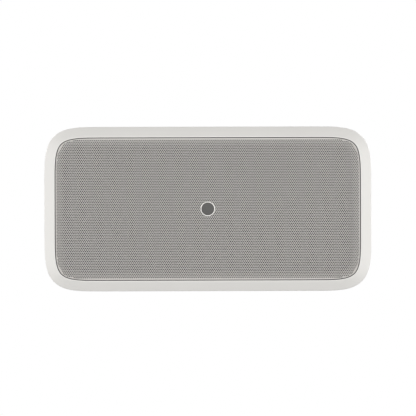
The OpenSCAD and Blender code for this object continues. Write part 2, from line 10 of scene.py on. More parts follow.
import bmesh
import bpy
import numpy as np
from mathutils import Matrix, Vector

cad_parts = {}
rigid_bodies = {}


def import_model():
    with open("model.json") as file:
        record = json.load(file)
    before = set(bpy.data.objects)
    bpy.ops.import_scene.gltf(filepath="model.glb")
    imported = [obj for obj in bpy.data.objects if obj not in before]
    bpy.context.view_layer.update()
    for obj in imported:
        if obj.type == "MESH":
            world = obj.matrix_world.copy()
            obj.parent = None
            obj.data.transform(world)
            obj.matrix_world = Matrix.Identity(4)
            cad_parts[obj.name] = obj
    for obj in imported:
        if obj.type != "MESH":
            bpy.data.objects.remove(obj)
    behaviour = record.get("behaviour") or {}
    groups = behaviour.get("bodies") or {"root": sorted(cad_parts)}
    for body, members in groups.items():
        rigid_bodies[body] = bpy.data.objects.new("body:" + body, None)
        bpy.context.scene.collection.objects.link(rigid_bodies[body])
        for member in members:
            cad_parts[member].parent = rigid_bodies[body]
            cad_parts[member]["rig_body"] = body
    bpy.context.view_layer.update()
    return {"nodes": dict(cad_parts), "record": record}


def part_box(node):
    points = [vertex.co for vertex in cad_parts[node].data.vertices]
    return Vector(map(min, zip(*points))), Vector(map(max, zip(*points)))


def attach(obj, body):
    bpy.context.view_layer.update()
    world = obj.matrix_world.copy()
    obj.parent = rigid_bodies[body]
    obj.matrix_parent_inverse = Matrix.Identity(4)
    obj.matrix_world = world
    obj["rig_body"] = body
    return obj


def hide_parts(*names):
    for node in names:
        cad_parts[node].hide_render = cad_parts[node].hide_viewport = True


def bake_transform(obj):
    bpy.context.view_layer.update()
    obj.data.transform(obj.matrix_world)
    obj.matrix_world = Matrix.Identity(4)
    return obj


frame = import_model()
MM = 0.001
CABINET = "cabinet"
SIDES = ("left", "right")

# %% [markdown]
# The object is drawn as its designer draws it: X to the right, Y up and a height above the wall. One helper
# turns those numbers, in millimetres, into the row's frame, where the grille faces -Y.

# %% Face coordinates
frame_low, frame_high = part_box("front_frame")
shell_low, shell_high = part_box("rear_shell")
BODY_W = (frame_high[0] - frame_low[0]) / MM
BODY_H = (frame_high[2] - frame_low[2]) / MM
BODY_D = -frame_low[1] / MM
BORDER = 11.5
CORNER_REACH = 62
CORNER_POWER = 3.9
GRILLE_GAP = 0.8
GRILLE_T = 0.8
GRILLE_INSET = BORDER + GRILLE_GAP
GRILLE_Z = -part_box("grille_panel")[0][1] / MM
GRILLE_BACK = -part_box("grille_panel")[1][1] / MM
BAFFLE_Z = -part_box("front_baffle")[0][1] / MM


def upright(points):
    """Rows of [x, y, height] in millimetres as points of the row's frame."""
    points = np.asarray(points, float).reshape(-1, 3)
    return np.column_stack([points[:, 0], -points[:, 2], points[:, 1]]) * MM


def squircle(width, height, reach, steps=24):
    """Counterclockwise outline with superellipse corners and a short straight lead into each side."""
    lead = 1.5
    turn = np.radians(np.linspace(0, 90, steps + 1))
    u = reach * np.cos(turn).clip(0) ** (2 / CORNER_POWER)
    v = reach * np.sin(turn).clip(0) ** (2 / CORNER_POWER)
    u = np.concatenate([[reach], u, [-lead]])
    v = np.concatenate([[-lead], v, [reach]])
    cx, cy = width / 2 - reach, height / 2 - reach
    corners = [(cx + u, cy + v), (-cx - v, cy + u), (-cx - u, -cy - v), (cx + v, -cy - u)]
    return np.concatenate([np.column_stack(c) for c in corners])


def inset(outline, distance):
    """The same points moved inwards, square to the outline."""
    along = np.roll(outline, -1, axis=0) - np.roll(outline, 1, axis=0)
    across = np.column_stack([along[:, 1], -along[:, 0]])
    return outline - distance * across / np.linalg.norm(across, axis=1)[:, None]


FRONT_OUTLINE = squircle(BODY_W, BODY_H, CORNER_REACH)
print(f"face {BODY_W:.1f} x {BODY_H:.1f} mm, front lip {BODY_D:.1f} mm off the wall")

# %% [markdown]
# ## The camera
# The photograph looks straight at the grille through a long lens, so parallel sides stay parallel. The face
# fills 326.8 of the picture's 416 pixels, and its middle lies a hair left of and below the centre, so the
# camera moves by that part of a pixel. Its outline is widest a little behind the front lip, where the bevel
# meets the side, so the distance is measured to there.

# %% Camera
PICTURE = 416
FACE_PIXELS = 326.8
SHIFT_RIGHT, SHIFT_UP = 0.2, 0.9
TILT = 0.15
LENS = 200
SENSOR = 36
WIDEST_BEHIND = 8
silhouette_y = -(BODY_D - WIDEST_BEHIND) * MM
scale = BODY_W * MM / FACE_PIXELS
distance = scale * PICTURE * LENS / SENSOR
camera_data = bpy.data.cameras.new("camera")
camera_data.lens = LENS
camera_data.sensor_width = SENSOR
camera_data.clip_end = 50
camera = bpy.data.objects.new("camera", camera_data)
camera.location = (SHIFT_RIGHT * scale, silhouette_y - distance, SHIFT_UP * scale)
camera.rotation_euler = (math.radians(90), math.radians(TILT), 0)
bpy.context.collection.objects.link(camera)
bpy.context.scene.camera = camera
print(f"camera {distance:.2f} m from the face")

# %% [markdown]
# ## Light
# The front of the white border reads brighter on its left and right slopes than on its top and bottom ones,
# so the lamps stand ahead and at both sides, with strengths fitted to the picture's tones. Softboxes behind
# the wall side light the back, where the photograph's camera can't see them. The world is white to the
# camera and dim to the object.

# %% Lights
def softbox(name, azimuth, elevation, strength, size=1.6, away=2.2):
    """A square lamp that faces the object. Azimuth 0 stands behind the camera and 90 on the +X side."""
    lamp = bpy.data.lights.new(name, "AREA")
    lamp.shape = "SQUARE"
    lamp.size = size
    lamp.energy = strength * math.pi * away ** 2 * math.pi
    side, rise = math.radians(azimuth), math.radians(elevation)
    direction = np.array([math.sin(side) * math.cos(rise), -math.cos(side) * math.cos(rise), math.sin(rise)])
    box = bpy.data.objects.new(name, lamp)
    box.location = direction * away + np.array([0, silhouette_y / 2, 0])
    box.rotation_euler = (math.radians(90 - elevation), 0, side)
    bpy.context.collection.objects.link(box)


softbox("front_box", 0, 7, 0.765, size=2.4, away=3.2)
softbox("right_box", 86, 0, 0.37)
softbox("left_box", -86, 0, 0.35)
softbox("back_right_box", 140, 25, 0.55)
softbox("back_left_box", -140, 25, 0.55)

bpy.context.scene.view_settings.view_transform = "Standard"
world = bpy.data.worlds.new("studio")
bpy.context.scene.world = world
world.use_nodes = True

# %% [markdown]
# ## Node maths
# Materials and Geometry Nodes are both trees of nodes. Term wraps one output, so that Python's own
# operators add the Math nodes, and Graph adds any other node by its type, its settings and its sockets. The
# world is the first to use it: rays that the picture shows meet white, and the rest a dim grey.

# %% Node helpers
class Term:
    """A node's output that takes part in Python arithmetic."""

    def __init__(self, graph, socket):
        self.graph = graph
        self.socket = socket

    def math(self, operation, *others):
        """A Math node whose first number is this one."""
        numbers = dict(enumerate((self, *others)))
        return self.graph.node("ShaderNodeMath", {"operation": operation}, numbers)[0]

    def __add__(self, other):
        return self.math("ADD", other)

    def __sub__(self, other):
        return self.math("SUBTRACT", other)

    def __rsub__(self, other):
        return self.graph.node("ShaderNodeMath", {"operation": "SUBTRACT"}, {0: other, 1: self})[0]

    def __mul__(self, other):
        return self.math("MULTIPLY", other)

    def __truediv__(self, other):
        return self.math("DIVIDE", other)

    def __mod__(self, other):
        return self.math("FLOORED_MODULO", other)

    def __lt__(self, other):
        return self.math("LESS_THAN", other)

    def __gt__(self, other):
        return self.math("GREATER_THAN", other)

    __radd__ = __add__
    __rmul__ = __mul__


class Outputs:
    """The outputs of one node, by name or number."""

    def __init__(self, graph, node):
        self.graph = graph
        self.node = node

    def __getitem__(self, key):
        return Term(self.graph, self.node.outputs[key])


class Graph:
    """A node tree with one method that adds any node."""

    def __init__(self, tree):
        self.tree = tree

    def node(self, kind, settings=None, sockets=None):
        node = self.tree.nodes.new(kind)
        for name, value in (settings or {}).items():
            if name == "stops":
                self.set_stops(node.color_ramp, value)
            else:
                setattr(node, name, value)
        for key, value in (sockets or {}).items():
            self.feed(node.inputs[key], value)
        return Outputs(self, node)

    def feed(self, socket, value):
        if isinstance(value, Term):
            self.tree.links.new(value.socket, socket)
        else:
            socket.default_value = value

    @staticmethod
    def set_stops(ramp, stops):
        while len(ramp.elements) < len(stops):
            ramp.elements.new(0.5)
        for element, (position, colour) in zip(ramp.elements, stops):
            element.position = position
            element.color = colour


WORLD_LIGHT = 0.13


def light_world():
    graph = Graph(world.node_tree)
    path = graph.node("ShaderNodeLightPath")
    seen = path["Is Camera Ray"].math("MAXIMUM", path["Is Glossy Ray"])
    seen = seen.math("MAXIMUM", path["Is Transmission Ray"])
    background = world.node_tree.nodes["Background"]
    background.inputs["Color"].default_value = (1, 1, 1, 1)
    graph.feed(background.inputs["Strength"], seen + (1 - seen) * WORLD_LIGHT)


light_world()
print("world: white where it is seen,", WORLD_LIGHT, "on the object")

# %% [markdown]
# ## Finishes
# A Paint is one material. Its patterns read Object coordinates, so they stay on the piece. Moulded plastic
# is never quite even: the spark-eroded mould leaves a fine grain, and the resin's tone drifts a little.

# %% Paint
GLUE = "glue"


class Paint(Graph):
    """A material on a Principled shader, with patterns in Object coordinates."""

    def __init__(self, name, roughness=0.5, metallic=0.0, **constants):
        self.material = bpy.data.materials.new(name)
        self.material.use_nodes = True
        super().__init__(self.material.node_tree)
        self.shader = self.tree.nodes["Principled BSDF"]
        self.place = self.node("ShaderNodeTexCoord")["Object"]
        self.set(Roughness=roughness, Metallic=metallic)
        for key, value in constants.items():
            self.shader.inputs[key.replace("_", " ")].default_value = value

    def set(self, **sockets):
        for key, value in sockets.items():
            self.feed(self.shader.inputs[key.replace("_", " ")], value)

    def noise(self, size, detail=2.0, roughness=0.5, stretch=(1, 1, 1)):
        """Noise from 0 to 1 with features about this many metres across."""
        spread = self.node("ShaderNodeMapping", {}, {"Vector": self.place, "Scale": stretch})["Vector"]
        sockets = {"Vector": spread, "Scale": 1 / size, "Detail": detail, "Roughness": roughness}
        return self.node("ShaderNodeTexNoise", {}, sockets)[0]

    def mixed(self, factor, first, second):
        """A colour between two colours."""
        sockets = {0: factor, 6: (*first, 1) if isinstance(first, tuple) else first,
                   7: (*second, 1) if isinstance(second, tuple) else second}
        return self.node("ShaderNodeMix", {"data_type": "RGBA"}, sockets)[2]

    def bump(self, height, depth, strength=1.0):
        sockets = {"Height": height, "Distance": depth, "Strength": strength}
        self.set(Normal=self.node("ShaderNodeBump", {}, sockets)["Normal"])

    def axis(self, name):
        return self.node("ShaderNodeSeparateXYZ", {}, {0: self.place})[name]


def shade(colour, factor):
    return tuple(min(1.0, c * factor) for c in colour)


def moulded_plastic(name, colour, roughness=0.42, grain=0.35 * MM, depth=0.02 * MM, drift=0.03):
    paint = Paint(name, roughness)
    tone = paint.noise(60 * MM, 3)
    fine = paint.noise(grain, 3, 0.6)
    paint.set(Base_Color=paint.mixed(tone, shade(colour, 1 - drift), shade(colour, 1 + drift)),
              Roughness=roughness - 0.05 + fine * 0.1)
    paint.bump(fine, depth, 0.6)
    return paint.material


def powder_coat(name, colour, roughness=0.5):
    """Baked powder: a slight orange peel over a finer fleck."""
    paint = Paint(name, roughness)
    peel = paint.noise(1.4 * MM, 2)
    fleck = paint.noise(0.25 * MM, 2)
    paint.set(Base_Color=paint.mixed(fleck, shade(colour, 0.97), shade(colour, 1.03)),
              Roughness=roughness - 0.06 + peel * 0.12)
    paint.bump(peel * 0.7 + fleck * 0.3, 0.03 * MM, 0.5)
    return paint.material


def plated_metal(name, colour, roughness=0.3, grain=(1, 1, 1)):
    """Plated or turned metal, with fine marks along the long side of the grain."""
    paint = Paint(name, roughness, metallic=1.0)
    marks = paint.noise(0.5 * MM, 3, 0.6, grain)
    cloud = paint.noise(12 * MM, 3)
    paint.set(Base_Color=paint.mixed(cloud, shade(colour, 0.92), shade(colour, 1.06)),
              Roughness=roughness - 0.06 + marks * 0.14)
    paint.bump(marks, 0.01 * MM, 0.4)
    return paint.material


def woven_cloth(name, colour, thread=0.45 * MM, roughness=0.95, glued=None):
    """Plain weave: two sets of ridges that take turns on top. Where the glue shows, it wears that colour."""
    paint = Paint(name, roughness)
    step = 2 * math.pi / thread
    warp = (paint.axis("X") * step).math("SINE")
    weft = (paint.axis("Z") * step).math("SINE")
    ridge = (warp * weft) * 0.5 + 0.5
    # Painted shade and highlight: the colour is darker in the hollows of the weave and lighter on its
    # crossings.
    weave = paint.mixed(ridge, shade(colour, 0.6), shade(colour, 1.5))
    if glued:
        glue = paint.node("ShaderNodeAttribute", {"attribute_name": GLUE})["Fac"]
        weave = paint.mixed(glue, weave, glued)
    paint.set(Base_Color=weave)
    paint.bump(ridge, 0.06 * MM, 0.8)
    return paint.material


def pulp(name, colour, roughness=0.85):
    """Pressed paper pulp: short fibres in every direction."""
    paint = Paint(name, roughness)
    fibre = paint.noise(0.8 * MM, 6, 0.7, (1, 4, 1))
    clump = paint.noise(4 * MM, 3)
    paint.set(Base_Color=paint.mixed(fibre * 0.6 + clump * 0.4, shade(colour, 0.7), shade(colour, 1.5)))
    paint.bump(fibre, 0.08 * MM, 0.7)
    return paint.material


def soft_rubber(name, colour, roughness=0.55):
    paint = Paint(name, roughness)
    bloom = paint.noise(8 * MM, 4)
    skin = paint.noise(0.3 * MM, 2)
    paint.set(Base_Color=paint.mixed(bloom, shade(colour, 0.85), shade(colour, 1.4)),
              Roughness=roughness + bloom * 0.15)
    paint.bump(skin, 0.02 * MM, 0.5)
    return paint.material


def cell_foam(name, colour, size=0.7 * MM):
    paint = Paint(name, 0.95)
    sockets = {"Vector": paint.place, "Scale": 1 / size}
    cells = paint.node("ShaderNodeTexVoronoi", {}, sockets)["Distance"]
    # Painted shade and highlight: the cells' pits are darker in colour and their walls lighter.
    paint.set(Base_Color=paint.mixed(cells, shade(colour, 0.6), shade(colour, 1.7)))
    paint.bump(cells, 0.2 * MM, 0.8)
    return paint.material


def wound_wire(name, colour, pitch=0.36 * MM):
    """Enamelled wire laid side by side, with its turns stacked along Y and painted shade in their grooves.
    """
    paint = Paint(name, 0.28, metallic=0.9, Coat_Weight=0.5)
    turns = paint.axis("Y") * (2 * math.pi / pitch)
    turns = turns.math("COSINE") * 0.5 + 0.5
    # Painted shade: the grooves between the turns are darker in colour, not only in the bump.
    paint.set(Base_Color=paint.mixed(turns, shade(colour, 0.45), shade(colour, 1.1)))
    paint.bump(turns, 0.15 * MM, 0.8)
    return paint.material


# %% [markdown]
# Each material slot of the record gets its own finish. A CAD node whose shape is right simply wears it. The
# shell's white is a guess, since only the border shows. The tone of the sheet's coat was fitted to the
# grille's mean tone with 1.5 mm holes. By area alone, holes of 1.7 mm in the border's own white would fit
# it too, so neither the tone nor the hole's diameter is measured.

# %% Finishes by slot
WHITE = (0.83, 0.815, 0.785)
BLACK = (0.03, 0.03, 0.032)
FINISHES = {
    "frame_plastic": moulded_plastic("warm_white_moulding", WHITE),
    "shell_plastic": moulded_plastic("white_shell_moulding", (0.80, 0.79, 0.77), 0.5, 0.5 * MM, 0.04 * MM),
    "grille_steel": powder_coat("white_powder_coat", (0.585, 0.56, 0.533)),
    "plate_steel": powder_coat("white_plate_coat", (0.76, 0.75, 0.735)),
    "cloth": woven_cloth("black_acoustic_cloth", (0.02, 0.02, 0.021), glued=(0.21, 0.203, 0.193)),
    "baffle_plastic": moulded_plastic("black_baffle_moulding", BLACK, 0.6, 0.6 * MM, 0.05 * MM, 0.1),
    "foam": cell_foam("closed_cell_foam", BLACK),
    "badge_metal": plated_metal("turned_badge_rim", (0.4, 0.39, 0.375), 0.35),
    "spring_steel": plated_metal("spring_steel", (0.5, 0.5, 0.5), 0.35, (1, 4, 1)),
    "port_plastic": moulded_plastic("black_port_moulding", BLACK, 0.45, 0.4 * MM, 0.02 * MM, 0.1),
    "cup_plastic": moulded_plastic("black_cup_moulding", (0.035, 0.035, 0.038), 0.5, 0.5 * MM,
                                   0.04 * MM, 0.1),
    "socket_plastic": moulded_plastic("green_socket_moulding", (0.03, 0.2, 0.08), 0.35, 0.3 * MM,
                                      0.01 * MM, 0.1),
    "board": moulded_plastic("green_solder_mask", (0.02, 0.14, 0.06), 0.25, 1.2 * MM, 0.02 * MM, 0.15),
    "copper": wound_wire("enamelled_copper", (0.72, 0.32, 0.16)),
    "film_sleeve": moulded_plastic("blue_film_sleeve", (0.03, 0.05, 0.22), 0.2, 2 * MM, 0.02 * MM, 0.1),
    "stud_steel": plated_metal("zinc_plated_stud", (0.66, 0.66, 0.64), 0.3),
    "brass": plated_metal("turned_brass", (0.72, 0.5, 0.2), 0.25),
    "basket_steel": powder_coat("black_basket_coat", BLACK, 0.45),
    "strip_board": pulp("phenolic_board", (0.32, 0.17, 0.07), 0.5),
    "plated_steel": plated_metal("zinc_plated_steel", (0.55, 0.56, 0.56), 0.35),
    "ferrite": moulded_plastic("ground_ferrite", (0.045, 0.045, 0.05), 0.55, 0.25 * MM, 0.05 * MM, 0.2),
    "former_foil": plated_metal("former_foil", (0.75, 0.75, 0.74), 0.25, (1, 8, 1)),
    "spider_cloth": woven_cloth("resin_cloth", (0.55, 0.38, 0.14), 0.8 * MM, 0.8),
    "cone_paper": pulp("cone_pulp", (0.05, 0.05, 0.052)),
    "cap_plastic": moulded_plastic("gloss_black_cap", (0.012, 0.012, 0.012), 0.15, 0.5 * MM,
                                   0.005 * MM, 0.1),
    "surround_rubber": soft_rubber("butyl_surround", (0.02, 0.02, 0.02)),
    "trim_plastic": moulded_plastic("black_trim", BLACK, 0.5, 0.4 * MM, 0.03 * MM, 0.1),
}
SLOTS = {row["node"]: row["material_slot"] for row in frame["record"]["subparts"]}
for name, node in frame["nodes"].items():
    node.data.materials.clear()
    node.data.materials.append(FINISHES[SLOTS[name]])
print("finishes:", len(FINISHES))


# %% [markdown]
# ## Making a piece
# Every finished piece goes through one function, which gives it its finish and its body, and hides the CAD
# nodes that it stands for. Most shapes are rings of points: swept round the face's outline, as a moulding
# is, or turned about an axis, as a lathe would.

# %% Piece helpers
def outward(points, faces):
    """The faces as they are, or all turned round if they enclose a negative volume."""
    volume = sum(np.dot(points[f[0]], np.cross(points[f[i]], points[f[i + 1]]))
                 for f in faces for i in range(1, len(f) - 1))
    return faces if volume > 0 else [tuple(reversed(f)) for f in faces]


def piece(name, shape, slot, **wear):
    """A mesh piece from the points and faces of a closed shape in the row's frame."""
    points, faces = shape
    mesh = bpy.data.meshes.new(name)
    mesh.from_pydata([tuple(p) for p in points], [], [tuple(f) for f in outward(points, faces)])
    mesh.update()
    return dressed(bpy.data.objects.new(name, mesh), slot, **wear)


def dressed(obj, slot, body=CABINET, replaces=(), smooth=30, finish=None):
    """Put a finish on a piece, smooth it up to an angle in degrees, and say where it belongs."""
    if not obj.users_collection:
        bpy.context.collection.objects.link(obj)
    obj.data.materials.clear()
    obj.data.materials.append(finish or FINISHES[slot])
    if smooth:
        obj.data.polygons.foreach_set("use_smooth", [True] * len(obj.data.polygons))
        obj.data.set_sharp_from_angle(angle=math.radians(smooth))
    if body:
        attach(obj, body)
    if replaces:
        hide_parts(*replaces)
    return obj


def ringed(rings, closed=True):
    """Points and faces of equally long rings of [x, y, height], each joined to the next."""
    n, m = len(rings[0]), len(rings)
    faces = [(k * n + i, k * n + (i + 1) % n, (k + 1) % m * n + (i + 1) % n, (k + 1) % m * n + i)
             for k in range(m if closed else m - 1) for i in range(n)]
    return upright(np.concatenate(rings)), faces


def swept(outline, section):
    """A closed section of [inset, height] swept round an outline."""
    return ringed([np.column_stack([inset(outline, d), np.full(len(outline), z)]) for d, z in section])


def turned(section, centre, sides=96):
    """A section of [radius, height] turned about an axis that is square to the wall. A section that starts
    and ends on the axis is closed by two poles, and any other joins its own start."""
    poles = section[0][0] == 0 and section[-1][0] == 0
    turn = np.arange(sides) * 2 * math.pi / sides
    circle = np.column_stack([np.cos(turn), np.sin(turn)])
    rings = [np.column_stack([circle * r + centre[:2], np.full(sides, centre[2] + z)])
             for r, z in (section[1:-1] if poles else section)]
    points, faces = ringed(rings, closed=not poles)
    if poles:
        tips = upright([[centre[0], centre[1], centre[2] + section[end][1]] for end in (0, -1)])
        first, last = len(points), (len(rings) - 1) * sides
        points = np.concatenate([points, tips])
        for i in range(sides):
            j = (i + 1) % sides
            faces += [(j, i, first), (last + i, last + j, first + 1)]
    return points, faces


def arc(centre, radius, start, end, steps):
    """Points of an arc in a section, both ends included, in degrees."""
    turn = np.radians(np.linspace(start, end, steps + 1))
    return [(centre[0] + radius * math.cos(a), centre[1] + radius * math.sin(a)) for a in turn]


def place(node):
    """Where a node is, as (x, y, height) of the middle of its back, and its thickness off the wall."""
    low, high = np.array(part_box(node)) / MM
    return ((low[0] + high[0]) / 2, (low[2] + high[2]) / 2, -high[1]), high[1] - low[1]


print("outline:", len(FRONT_OUTLINE), "points, corners reach", CORNER_REACH, "mm")


# %% [markdown]
# ## The front frame
# The white border is a narrow lip beside the grille, a slope that falls away to the outer edge, and a soft
# roll into the side. A sweep along the outline makes it, with arcs where the mould is rounded. Just inside
# the lip the frame wears black down to the ledge that seats the grille: this is painted shade, which makes
# the gap round the grille read dark.

# %% Front frame
BEVEL = 7
SHADE_MASK_DEPTH = 0.5
LIP_W = 0.6
LIP_R, CROWN_R, ROLL_R = 0.35, 1.0, 1.4
SKIRT_OUT, SKIRT_IN, SKIRT_BREAK = 0.6, 3.6, 0.4
WALL_BACK = (BORDER - 2, BODY_D - 4)


def frame_section():
    z = BODY_D
    skirt_z = -frame_high[1] / MM
    slope = math.degrees(math.atan2(BEVEL - 0.9, BORDER - LIP_W - 1.2))
    return (
        arc((BORDER - LIP_R, z - LIP_R), LIP_R, 0, 90, 5)
        + arc((BORDER - LIP_W, z - CROWN_R), CROWN_R, 90, 90 + slope, 4)
        + arc((ROLL_R, z - BEVEL - 0.2), ROLL_R, 90 + slope, 180, 8)
        + [(SKIRT_OUT, skirt_z + SKIRT_BREAK), (SKIRT_OUT + SKIRT_BREAK, skirt_z), (SKIRT_IN - 0.3, skirt_z),
           (SKIRT_IN, skirt_z + SKIRT_BREAK), (3.0, z - 10), WALL_BACK, (BORDER, z - SHADE_MASK_DEPTH)])


# The seat ring is black as painted shade in the gap round the grille, where only shade falls.
SHADE_SEAT_SECTION = [(BORDER, BODY_D - SHADE_MASK_DEPTH), WALL_BACK, (BORDER - 2, BAFFLE_Z), (BORDER + 2.5, BAFFLE_Z),
                (BORDER + 2.5, GRILLE_BACK), (BORDER, GRILLE_BACK)]
front_frame = piece("front_moulding", swept(FRONT_OUTLINE, frame_section()), "frame_plastic",
                    replaces=["front_frame"])
piece("front_seat", swept(FRONT_OUTLINE, SHADE_SEAT_SECTION), "frame_plastic", replaces=["front_frame"],
      finish=FINISHES["trim_plastic"])
print("front frame:", len(front_frame.data.polygons), "faces")

# %% [markdown]
# ## The perforated grille
# The sheet is punched steel: 1.5 mm holes, 2 mm apart, in staggered rows, about thirteen thousand of them.
# Booleans would take minutes, and one big fill is nearly as slow. Each hole sits in its own six-sided cell,
# and the cells tile the plane, so Geometry Nodes lay one small cell again and again. Only the ragged strip
# between the outermost cells and the edge has to be filled. The sheet is made in bands of rows that meet
# along the cells' edges, to keep each mesh light.

# %% Grille outline
HOLE_SPACING = 2.0
ROW_SPACING = HOLE_SPACING * math.sqrt(3) / 2
HOLE_D = 1.5
HOLE_SIDES = 8
SAME_AREA = math.sqrt(2 * math.pi / HOLE_SIDES / math.sin(2 * math.pi / HOLE_SIDES))
EDGE_ROLL = 1.2
HOLE_MARGIN = 0.45
CROWN_W = 9.0
CROWN_D = 0.6
POST_R = 2.2
BADGE_R = 7.75
SEAM = 0.02 * MM
ABOVE = 10 * MM
POST_SIDES = 24
SHEET_OUTLINE = inset(FRONT_OUTLINE, GRILLE_INSET)


def outline_object(name):
    """The sheet's flat outline as a closed loop of edges."""
    n = len(SHEET_OUTLINE)
    mesh = bpy.data.meshes.new(name)
    mesh.from_pydata([(x, y, 0) for x, y in SHEET_OUTLINE * MM], [(i, (i + 1) % n) for i in range(n)], [])
    obj = bpy.data.objects.new(name, mesh)
    bpy.context.collection.objects.link(obj)
    return obj


print(f"sheet {np.ptp(SHEET_OUTLINE[:, 0]):.1f} x {np.ptp(SHEET_OUTLINE[:, 1]):.1f} mm")

# %% [markdown]
# The tree's inputs are the sizes that a maker would quote. The lattice is a plain grid whose odd rows move
# by half a spacing. A ray finds whether a cell's centre lies on the sheet, and Geometry Proximity how far
# it is from the edge. The edges of the merged cells that have one face and lie on a cell's border make the
# ragged loop, which is filled together with the outline and the hole for the badge's post. The sheet is
# punched before it is pressed, so its outermost holes go down over the rolled edge, past a faint crown.

# %% Perforation tree
def perforation_tree():
    tree = bpy.data.node_groups.new("perforated_sheet", "GeometryNodeTree")
    sizes = ("Spacing", "Hole Diameter", "Margin", "Thickness", "Edge Roll", "Crown Width", "Crown Depth",
             "Badge Radius", "Post Radius", "Width", "Height", "First Row", "Last Row")
    sockets = ([("Outline", "Geometry")] + [(name, "Float") for name in sizes]
               + [("Hole Sides", "Int"), ("Border Only", "Bool"), ("Finish", "Material")])
    for name, kind in sockets:
        tree.interface.new_socket(name, in_out="INPUT", socket_type="NodeSocket" + kind)
    tree.interface.new_socket("Sheet", in_out="OUTPUT", socket_type="NodeSocketGeometry")
    graph = Graph(tree)
    given = graph.node("NodeGroupInput")
    spacing = given["Spacing"]
    row = spacing * (math.sqrt(3) / 2)
    hole_r = given["Hole Diameter"] * (0.5 * SAME_AREA)
    place = graph.node("GeometryNodeInputPosition")["Position"]
    from_middle = graph.node("ShaderNodeVectorMath", {"operation": "LENGTH"}, {0: place})["Value"]

    def ring(radius, sides, turn=0.0):
        circle = graph.node("GeometryNodeCurvePrimitiveCircle", {},
                            {"Resolution": sides, "Radius": radius})["Curve"]
        return graph.node("GeometryNodeTransform", {},
                          {"Geometry": circle, "Rotation": (0, 0, turn)})["Geometry"]

    def joined(*parts):
        join = graph.node("GeometryNodeJoinGeometry")
        for part in parts:
            tree.links.new(part.socket, join.node.inputs[0])
        return join[0]

    def filled(*curves):
        return graph.node("GeometryNodeFillCurve", {"mode": "TRIANGLES"}, {"Curve": joined(*curves)})["Mesh"]

    def laid(cell, centres):
        copies = graph.node("GeometryNodeInstanceOnPoints", {},
                            {"Points": centres, "Instance": cell})["Instances"]
        copies = graph.node("GeometryNodeRealizeInstances", {}, {"Geometry": copies})["Geometry"]
        return graph.node("GeometryNodeMergeByDistance", {},
                          {"Geometry": copies, "Distance": SEAM})["Geometry"]

    def chosen(geometry, selection, domain):
        return graph.node("GeometryNodeSeparateGeometry", {"domain": domain},
                          {"Geometry": geometry, "Selection": selection})["Selection"]

    # One cell: a six-sided tile with its hole, and its border edges marked
    tile = filled(ring(spacing / math.sqrt(3), 6, math.pi / 6),
                  ring(hole_r, given["Hole Sides"], math.pi / HOLE_SIDES))
    on_border = from_middle > (spacing * 0.5 + hole_r) * 0.5
    cell = graph.node("GeometryNodeStoreNamedAttribute", {"data_type": "BOOLEAN", "domain": "EDGE"},
                      {"Geometry": tile, "Name": "border", "Value": on_border})["Geometry"]

    # The lattice of centres that lie on the sheet, clear of its edge and of the badge's post
    columns = (given["Width"] / spacing * 0.5).math("CEIL") * 2 + 1
    rows = (given["Height"] / row * 0.5).math("CEIL") * 2 + 1
    grid = graph.node("GeometryNodeMeshGrid", {}, {
        "Size X": (columns - 1) * spacing, "Size Y": (rows - 1) * row,
        "Vertices X": columns, "Vertices Y": rows})["Mesh"]
    height = graph.node("ShaderNodeSeparateXYZ", {}, {0: place})["Y"]
    row_number = (height / row).math("ROUND")
    shift = graph.node("ShaderNodeCombineXYZ", {}, {"X": (row_number % 2) * spacing * 0.5})["Vector"]
    lattice = graph.node("GeometryNodeSetPosition", {}, {"Geometry": grid, "Offset": shift})["Geometry"]
    loop = graph.node("GeometryNodeMeshToCurve", {}, {"Mesh": given["Outline"]})["Curve"]
    blank = graph.node("GeometryNodeFillCurve", {"mode": "NGONS"}, {"Curve": loop})["Mesh"]
    above = graph.node("ShaderNodeVectorMath", {"operation": "ADD"}, {0: place, 1: (0, 0, ABOVE)})["Vector"]
    hit = graph.node("GeometryNodeRaycast", {}, {
        "Target Geometry": blank, "Source Position": above,
        "Ray Direction": (0, 0, -1), "Ray Length": 2 * ABOVE})["Is Hit"]
    clear = graph.node("GeometryNodeProximity", {"target_element": "EDGES"},
                       {0: given["Outline"]})["Distance"]
    keep = hit * (clear > given["Margin"] + hole_r) * (from_middle > given["Badge Radius"] - spacing)
    centres = chosen(lattice, keep, "POINT")

    # A band of rows, or the border strip round all of them
    in_band = (row_number > given["First Row"] - 0.5) * (row_number < given["Last Row"] + 0.5)
    band = laid(cell, chosen(centres, in_band, "POINT"))
    neighbours = graph.node("GeometryNodeInputMeshEdgeNeighbors")["Face Count"]
    marked = graph.node("GeometryNodeInputNamedAttribute", {"data_type": "BOOLEAN"},
                        {"Name": "border"})["Attribute"]
    ragged = chosen(laid(cell, centres), marked * (neighbours < 1.5), "EDGE")
    ragged = graph.node("GeometryNodeMeshToCurve", {}, {"Mesh": ragged})["Curve"]
    strip = filled(loop, ragged, ring(given["Post Radius"], POST_SIDES))
    front = graph.node("GeometryNodeSwitch", {"input_type": "GEOMETRY"},
                       {"Switch": given["Border Only"], "False": band, "True": strip})[0]

